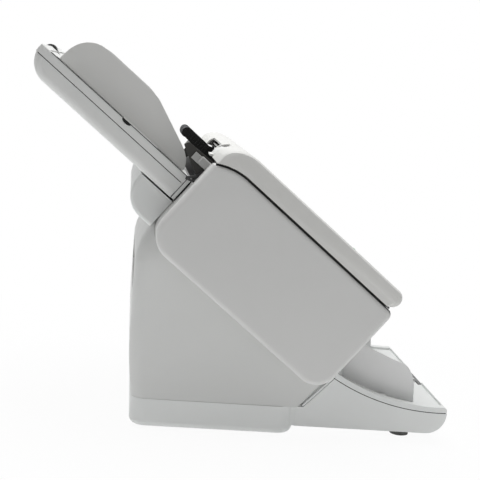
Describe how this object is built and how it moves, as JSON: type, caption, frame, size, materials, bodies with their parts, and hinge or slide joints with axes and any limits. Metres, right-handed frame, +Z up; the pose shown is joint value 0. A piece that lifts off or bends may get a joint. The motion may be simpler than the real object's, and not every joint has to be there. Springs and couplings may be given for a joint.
{
  "type": "document scanner",
  "caption": "Desktop document scanner: tilted body under a hinged cover, rising rear hopper with paper guides, curved front output tray",
  "frame": {"origin": "centre of the bounding box's underside, on the surface that the feet stand on", "axes": "+X across the width towards the machine's right as seen from its front, +Y to the rear (hopper), +Z up"},
  "size_m": [0.46, 0.5959, 0.5102],
  "materials": {
    "shell_light": "fine texture",
    "shell_cover": "fine texture",
    "shell_grey": "fine texture",
    "guide_grey": "satin",
    "mechanism_black": "satin",
    "panel_dark": "gloss",
    "display": "gloss",
    "button_green": "satin",
    "button_grey": "satin",
    "steel": "brushed",
    "roller": "matt",
    "belt": "matt",
    "clear_glass": "polished",
    "feet": "matt",
    "pale_trim": "satin",
    "board": "satin"
  },
  "bodies": {
    "base": {"base_plinth": "shell_light", "rubber_feet": "feet", "stand_shell": "shell_light", "rear_panel": "shell_grey", "ac_inlet": "mechanism_black", "body_shell": "shell_grey", "side_cover_left": "shell_light", "side_cover_right": "shell_light", "lift_housing": "shell_light", "side_frames": "steel", "deck": "mechanism_black", "feed_cheeks": "mechanism_black", "feed_bush_blocks": "pale_trim", "transport_bed": "shell_grey", "lower_glass": "clear_glass", "lower_sensor": "mechanism_black", "exit_guide": "mechanism_black", "hinge_brackets": "mechanism_black", "drive_motors": "steel", "drive_belts": "belt", "lift_motor": "steel", "lift_rods": "steel", "power_supply": "steel", "main_board": "board", "tray_lower": "shell_light", "tray_top": "shell_light"},
    "front_cover": {"cover_shell": "shell_cover", "cover_inner": "shell_grey", "upper_glass": "clear_glass", "upper_sensor": "mechanism_black", "hinge_pins": "steel", "operator_panel": "panel_dark", "display_window": "display"},
    "latch": {"release_latch": "guide_grey"},
    "start_key": {"start_button": "button_green"},
    "stop_key": {"stop_button": "button_grey"},
    "pinch_rear": {"pinch_roller_rear": "roller"},
    "pinch_front": {"pinch_roller_front": "roller"},
    "feed_shaft": {"feed_roller": "roller"},
    "separation_shaft": {"separation_roller": "roller"},
    "transport_rear": {"transport_roller_rear": "roller"},
    "transport_front": {"transport_roller_front": "roller"},
    "eject_shaft": {"eject_roller": "roller"},
    "drive_shaft": {"motor_pulley": "steel"},
    "feed_drive_shaft": {"feed_motor_pulley": "steel"},
    "hopper": {"hopper_base": "shell_light", "hopper_top": "shell_light"},
    "hopper_guide_l": {"hopper_guide_left": "guide_grey"},
    "hopper_guide_r": {"hopper_guide_right": "guide_grey"},
    "hopper_pullout": {"hopper_extension": "shell_grey", "pull_knob": "pale_trim"},
    "lift_spindle": {"lift_screw": "steel"},
    "arm": {"pick_arm": "mechanism_black"},
    "pick_shaft": {"pick_rollers": "roller"},
    "level_arm": {"level_lever": "mechanism_black"},
    "tray_guide_l": {"output_guide_left": "guide_grey"},
    "tray_guide_r": {"output_guide_right": "guide_grey"},
    "tray_flap": {"output_stopper": "shell_grey"},
    "tray_pullout": {"output_extension": "panel_dark"},
    "rocker": {"power_switch": "mechanism_black"}
  },
  "joints": [
    {"name": "cover_hinge", "type": "hinge", "parent": "base", "child": "front_cover", "pos_m": [0, -0.19647, 0.20877], "axis": [1, 0, 0], "range_deg": [0, 75]},
    {"name": "latch_pivot", "type": "hinge", "parent": "front_cover", "child": "latch", "pos_m": [0, 0.0217, 0.37376], "axis": [1, 0, 0], "range_deg": [0, 12], "stiffness_Nm_per_rad": 1, "springref_deg": -5.73},
    {"name": "start_press", "type": "slide", "parent": "front_cover", "child": "start_key", "axis": [0, 0.6157, -0.788], "range_m": [0, 0.0008], "stiffness_N_per_m": 400, "springref_m": -0.0008},
    {"name": "stop_press", "type": "slide", "parent": "front_cover", "child": "stop_key", "axis": [0, 0.6157, -0.788], "range_m": [0, 0.0008], "stiffness_N_per_m": 400, "springref_m": -0.0008},
    {"name": "pinch_rear_spin", "type": "hinge", "parent": "front_cover", "child": "pinch_rear", "pos_m": [0, -0.01948, 0.32902], "axis": [1, 0, 0], "continuous": true},
    {"name": "pinch_front_spin", "type": "hinge", "parent": "front_cover", "child": "pinch_front", "pos_m": [0, -0.13296, 0.24036], "axis": [1, 0, 0], "continuous": true},
    {"name": "transport_spin", "type": "hinge", "parent": "base", "child": "transport_rear", "pos_m": [0, -0.00896, 0.31554], "axis": [1, 0, 0], "continuous": true},
    {"name": "transport_front_spin", "type": "hinge", "parent": "base", "child": "transport_front", "pos_m": [0, -0.12243, 0.22689], "axis": [1, 0, 0], "continuous": true},
    {"name": "eject_spin", "type": "hinge", "parent": "base", "child": "eject_shaft", "pos_m": [0, -0.16221, 0.18418], "axis": [1, 0, 0], "continuous": true},
    {"name": "motor_spin", "type": "hinge", "parent": "base", "child": "drive_shaft", "pos_m": [0, -0.03799, 0.23576], "axis": [1, 0, 0], "continuous": true},
    {"name": "feed_spin", "type": "hinge", "parent": "base", "child": "feed_shaft", "pos_m": [0, 0.04121, 0.35854], "axis": [1, 0, 0], "continuous": true},
    {"name": "separation_spin", "type": "hinge", "parent": "base", "child": "separation_shaft", "pos_m": [0, 0.05604, 0.33955], "axis": [1, 0, 0], "continuous": true},
    {"name": "feed_motor_spin", "type": "hinge", "parent": "base", "child": "feed_drive_shaft", "pos_m": [0, 0.03924, 0.29609], "axis": [1, 0, 0], "continuous": true},
    {"name": "hopper_lift", "type": "slide", "parent": "base", "child": "hopper", "axis": [0, -0.6157, 0.788], "range_m": [0, 0.024]},
    {"name": "lift_spin", "type": "hinge", "parent": "base", "child": "lift_spindle", "pos_m": [0, 0.11518, 0.3402], "axis": [0, -0.6157, 0.788], "range_deg": [0, 721]},
    {"name": "hopper_guide_left_slide", "type": "slide", "parent": "hopper", "child": "hopper_guide_l", "axis": [1, 0, 0], "range_m": [0, 0.1]},
    {"name": "hopper_guide_right_slide", "type": "slide", "parent": "hopper", "child": "hopper_guide_r", "axis": [1, 0, 0], "range_m": [-0.1, 0]},
    {"name": "hopper_pullout_slide", "type": "slide", "parent": "hopper", "child": "hopper_pullout", "axis": [0, 0.788, 0.6157], "range_m": [0, 0.075]},
    {"name": "arm_pivot", "type": "hinge", "parent": "base", "child": "arm", "pos_m": [0, 0.04121, 0.35854], "axis": [1, 0, 0], "range_deg": [0, 8]},
    {"name": "pick_spin", "type": "hinge", "parent": "arm", "child": "pick_shaft", "pos_m": [0, 0.08647, 0.39644], "axis": [1, 0, 0], "continuous": true},
    {"name": "level_pivot", "type": "hinge", "parent": "base", "child": "level_arm", "pos_m": [0, 0.06736, 0.35106], "axis": [1, 0, 0], "range_deg": [0, 15], "stiffness_Nm_per_rad": 0.02, "springref_deg": -11.46},
    {"name": "tray_guide_left_slide", "type": "slide", "parent": "base", "child": "tray_guide_l", "axis": [1, 0, 0], "range_m": [0, 0.1]},
    {"name": "tray_guide_right_slide", "type": "slide", "parent": "base", "child": "tray_guide_r", "axis": [1, 0, 0], "range_m": [-0.1, 0]},
    {"name": "tray_flap_pivot", "type": "hinge", "parent": "base", "child": "tray_flap", "pos_m": [0, -0.286, 0.0511], "axis": [1, 0, 0], "range_deg": [0, 90]},
    {"name": "tray_pullout_slide", "type": "slide", "parent": "base", "child": "tray_pullout", "axis": [0, -1, 0], "range_m": [0, 0.055]},
    {"name": "power_rock", "type": "hinge", "parent": "base", "child": "rocker", "pos_m": [-0.08, 0.133, 0.201], "axis": [1, 0, 0], "range_deg": [0, 16]}
  ],
  "couplings": [
    {"joint": "transport_front_spin", "follows": "transport_spin", "ratio": 1},
    {"joint": "eject_spin", "follows": "transport_spin", "ratio": 1},
    {"joint": "motor_spin", "follows": "transport_spin", "ratio": 1.375},
    {"joint": "separation_spin", "follows": "feed_spin", "ratio": -1},
    {"joint": "feed_motor_spin", "follows": "feed_spin", "ratio": 1.1667},
    {"joint": "pick_spin", "follows": "feed_spin", "ratio": 1.3333},
    {"joint": "lift_spin", "follows": "hopper_lift", "rad_per_m": 523.6},
    {"joint": "hopper_guide_right_slide", "follows": "hopper_guide_left_slide", "ratio": -1},
    {"joint": "tray_guide_right_slide", "follows": "tray_guide_left_slide", "ratio": -1}
  ]
}
